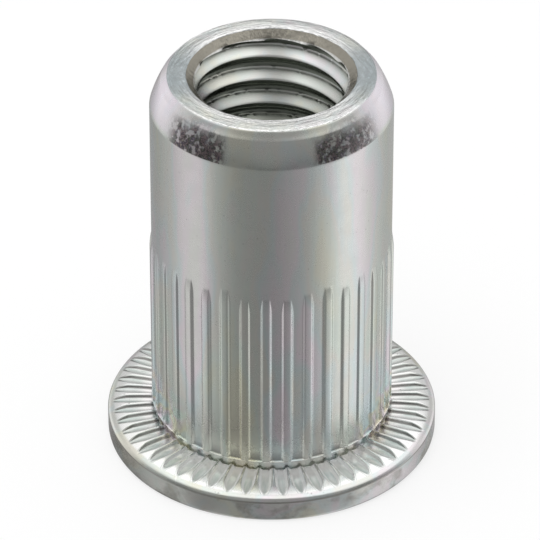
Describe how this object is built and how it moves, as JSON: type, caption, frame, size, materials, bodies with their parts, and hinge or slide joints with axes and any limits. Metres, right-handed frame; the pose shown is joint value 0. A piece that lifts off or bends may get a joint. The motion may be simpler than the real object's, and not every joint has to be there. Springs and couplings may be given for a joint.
{
  "type": "rivet nut",
  "caption": "Open-ended blind rivet nut with a flat serrated flange, a knurled thin-walled grip, a round threaded body and a rounded nose.",
  "frame": {"origin": "centre of the flange's flat underside, which is the lowest point", "axes": "+Z along the bore, from the flange towards the threaded nose; the part is the same all round it apart from its ribs, serrations and thread"},
  "size_m": [0.0153, 0.0152, 0.0194],
  "materials": {
    "zinc_plated_steel": "satin bright zinc plating with a pale iridescent passivation film"
  },
  "bodies": {
    "root": {"rivet_nut": "zinc_plated_steel"}
  },
  "joints": []
}
